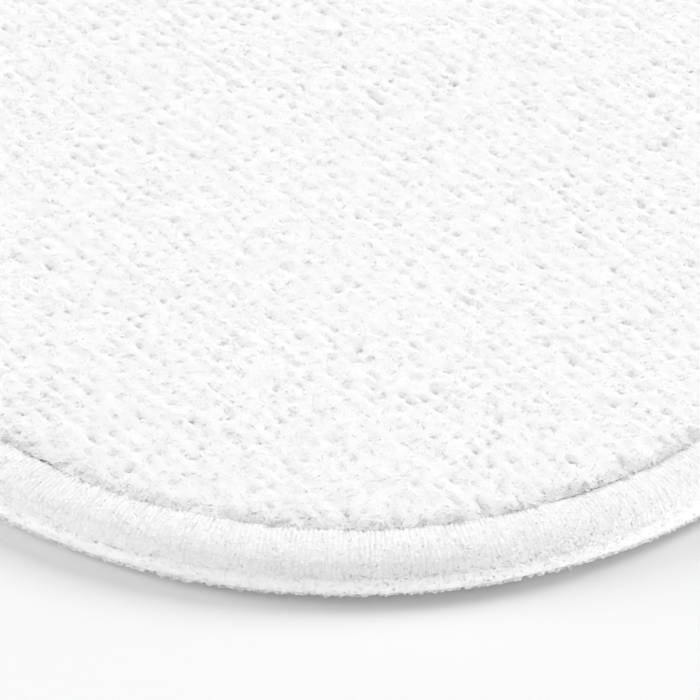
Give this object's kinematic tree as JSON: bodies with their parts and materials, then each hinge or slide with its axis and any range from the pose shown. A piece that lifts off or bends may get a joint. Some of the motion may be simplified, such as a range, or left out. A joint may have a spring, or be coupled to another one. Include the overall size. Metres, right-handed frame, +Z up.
{
  "type": "bath mat",
  "caption": "Rounded rectangular bath mat: dense short tufted pile, wide overlocked thread edge, felt pad and anti-slip base.",
  "frame": {"origin": "centre of the footprint, on the floor that the mat lies on", "axes": "+X along the mat's length and its tuft rows, +Y across its width, +Z up out of the pile"},
  "size_m": [0.6, 0.4, 0.0094],
  "materials": {
    "pile_yarn": "soft matt microfibre pile in short dense tufts",
    "backing_weave": "open plain weave of flat tape yarns",
    "latex": "thin matt coat",
    "felt": "needled felt",
    "base_rubber": "matt moulded rubber with round studs",
    "upper_edge_yarn": "fluffy textured yarn in close stitches across the edge",
    "lower_edge_yarn": "fluffy textured yarn in close stitches round the lower lip",
    "needle_yarn": "plied sewing thread",
    "label_satin": "plain satin ribbon"
  },
  "bodies": {
    "root": {"pile": "pile_yarn", "primary_backing": "backing_weave", "latex_coat": "latex", "felt_pad": "felt", "anti_slip_base": "base_rubber", "upper_looper_thread": "upper_edge_yarn", "lower_looper_thread": "lower_edge_yarn", "needle_thread": "needle_yarn", "care_label": "label_satin"}
  },
  "joints": []
}
